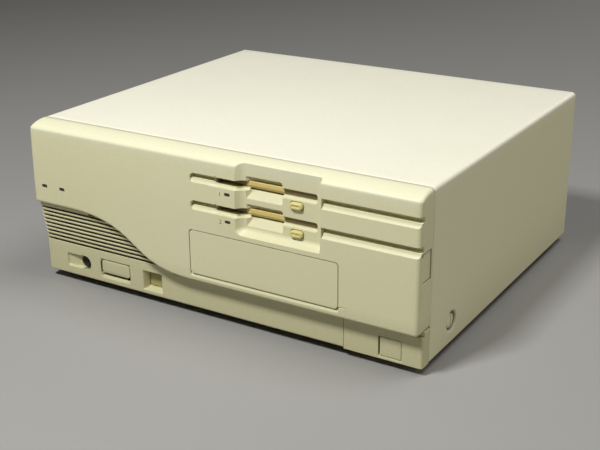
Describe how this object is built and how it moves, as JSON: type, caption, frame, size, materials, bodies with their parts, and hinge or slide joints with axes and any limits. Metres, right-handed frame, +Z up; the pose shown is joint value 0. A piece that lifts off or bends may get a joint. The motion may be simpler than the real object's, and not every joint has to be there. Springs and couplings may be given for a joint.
{
  "type": "desktop computer",
  "caption": "Low ivory desktop computer with stacked disk slots, swept vent grille, file bay cover and buttons below.",
  "frame": {"origin": "middle of the footprint on the table, under the feet", "axes": "+X to the right seen from the front, +Y to the back, +Z up"},
  "size_m": [0.38, 0.335, 0.15],
  "materials": {
    "case_plastic": "fine satin texture, sun-yellowed ivory",
    "cover_paint": "satin powder coat, off-white",
    "yellowed_plastic": "satin, yellowed cream",
    "button_plastic": "satin, yellowed cream",
    "dark_plastic": "matte black",
    "light_lens": "smoked gloss, unlit",
    "foot_rubber": "matte black",
    "zinc_steel": "zinc-plated sheet",
    "cast_aluminium": "die-cast, bead-blasted",
    "circuit_board": "green solder resist"
  },
  "bodies": {
    "case": {"front_bezel": "case_plastic", "lower_front_panel": "case_plastic", "lower_right_cover": "case_plastic", "top_cover": "cover_paint", "chassis_tray": "zinc_steel", "front_frame": "zinc_steel", "rear_panel": "zinc_steel", "foot_front_left": "foot_rubber", "foot_front_right": "foot_rubber", "foot_rear_left": "foot_rubber", "foot_rear_right": "foot_rubber", "cover_screw_left": "zinc_steel", "cover_screw_right": "zinc_steel", "file_bay_cover": "case_plastic", "file_bay_cage": "zinc_steel", "drive_bracket": "zinc_steel", "power_light": "light_lens", "disk_light": "light_lens", "keyboard_socket": "dark_plastic", "power_switch": "dark_plastic", "reset_switch": "dark_plastic", "mode_switches": "dark_plastic", "speaker": "dark_plastic", "mainboard": "circuit_board", "expansion_cage": "zinc_steel", "expansion_backplane": "circuit_board", "slot_cover_1": "zinc_steel", "slot_cover_2": "zinc_steel", "slot_cover_3": "zinc_steel", "slot_cover_4": "zinc_steel", "power_supply_case": "zinc_steel", "fan_frame": "dark_plastic", "mains_inlet": "dark_plastic", "mains_outlet": "dark_plastic", "printer_port": "zinc_steel", "serial_port": "zinc_steel", "display_port": "zinc_steel", "mouse_port": "dark_plastic", "drive_frame_upper": "cast_aluminium", "drive_front_upper": "yellowed_plastic", "drive_light_upper": "light_lens", "drive_frame_lower": "cast_aluminium", "drive_front_lower": "yellowed_plastic", "drive_light_lower": "light_lens"},
    "power_button": {"power_button": "case_plastic"},
    "reset_button": {"reset_button": "button_plastic"},
    "switch_flap": {"switch_flap": "case_plastic"},
    "bezel_latch_left": {"bezel_latch_left": "case_plastic"},
    "bezel_latch_right": {"bezel_latch_right": "case_plastic"},
    "fan_rotor": {"fan_rotor": "dark_plastic"},
    "eject_button_upper": {"eject_button_upper": "button_plastic"},
    "slot_door_upper": {"slot_door_upper": "yellowed_plastic"},
    "spindle_upper": {"spindle_upper": "zinc_steel"},
    "head_carriage_upper": {"head_carriage_upper": "cast_aluminium"},
    "lead_screw_upper": {"lead_screw_upper": "zinc_steel"},
    "eject_button_lower": {"eject_button_lower": "button_plastic"},
    "slot_door_lower": {"slot_door_lower": "yellowed_plastic"},
    "spindle_lower": {"spindle_lower": "zinc_steel"},
    "head_carriage_lower": {"head_carriage_lower": "cast_aluminium"},
    "lead_screw_lower": {"lead_screw_lower": "zinc_steel"}
  },
  "joints": [
    {"name": "power_press", "type": "slide", "parent": "case", "child": "power_button", "axis": [0, 1, 0], "range_m": [0, 0.004], "stiffness_N_per_m": 400},
    {"name": "reset_press", "type": "slide", "parent": "case", "child": "reset_button", "axis": [0, 1, 0], "range_m": [0, 0.002], "stiffness_N_per_m": 400},
    {"name": "left_latch_press", "type": "slide", "parent": "case", "child": "bezel_latch_left", "axis": [1, 0, 0], "range_m": [0, 0.0015], "stiffness_N_per_m": 800},
    {"name": "right_latch_press", "type": "slide", "parent": "case", "child": "bezel_latch_right", "axis": [-1, 0, 0], "range_m": [0, 0.0015], "stiffness_N_per_m": 800},
    {"name": "switch_flap_hinge", "type": "hinge", "parent": "case", "child": "switch_flap", "pos_m": [0.1712, -0.1563, 0.0181], "axis": [0, 0, 1], "range_deg": [0, 100]},
    {"name": "fan_spin", "type": "hinge", "parent": "case", "child": "fan_rotor", "pos_m": [-0.126, 0.1485, 0.084], "axis": [0, 1, 0], "continuous": true},
    {"name": "upper_eject_press", "type": "slide", "parent": "case", "child": "eject_button_upper", "axis": [0, 1, 0], "range_m": [0, 0.006], "stiffness_N_per_m": 300},
    {"name": "upper_door_hinge", "type": "hinge", "parent": "case", "child": "slot_door_upper", "pos_m": [0.0543, -0.1547, 0.1321], "axis": [1, 0, 0], "range_deg": [0, 80], "stiffness_Nm_per_rad": 0.0005},
    {"name": "upper_spindle_spin", "type": "hinge", "parent": "case", "child": "spindle_upper", "pos_m": [0.0543, -0.1014, 0.1185], "axis": [0, 0, 1], "continuous": true},
    {"name": "upper_carriage_slide", "type": "slide", "parent": "case", "child": "head_carriage_upper", "axis": [0, -1, 0], "range_m": [0, 0.0148]},
    {"name": "upper_screw_spin", "type": "hinge", "parent": "case", "child": "lead_screw_upper", "pos_m": [0.0363, -0.0424, 0.1234], "axis": [0, 1, 0], "range_deg": [0, 1780]},
    {"name": "lower_eject_press", "type": "slide", "parent": "case", "child": "eject_button_lower", "axis": [0, 1, 0], "range_m": [0, 0.006], "stiffness_N_per_m": 300},
    {"name": "lower_door_hinge", "type": "hinge", "parent": "case", "child": "slot_door_lower", "pos_m": [0.0543, -0.1547, 0.1089], "axis": [1, 0, 0], "range_deg": [0, 80], "stiffness_Nm_per_rad": 0.0005},
    {"name": "lower_spindle_spin", "type": "hinge", "parent": "case", "child": "spindle_lower", "pos_m": [0.0543, -0.1014, 0.0953], "axis": [0, 0, 1], "continuous": true},
    {"name": "lower_carriage_slide", "type": "slide", "parent": "case", "child": "head_carriage_lower", "axis": [0, -1, 0], "range_m": [0, 0.0148]},
    {"name": "lower_screw_spin", "type": "hinge", "parent": "case", "child": "lead_screw_lower", "pos_m": [0.0363, -0.0424, 0.1002], "axis": [0, 1, 0], "range_deg": [0, 1780]}
  ],
  "couplings": [
    {"joint": "upper_screw_spin", "follows": "upper_carriage_slide", "rad_per_m": 2094.4},
    {"joint": "lower_screw_spin", "follows": "lower_carriage_slide", "rad_per_m": 2094.4}
  ]
}
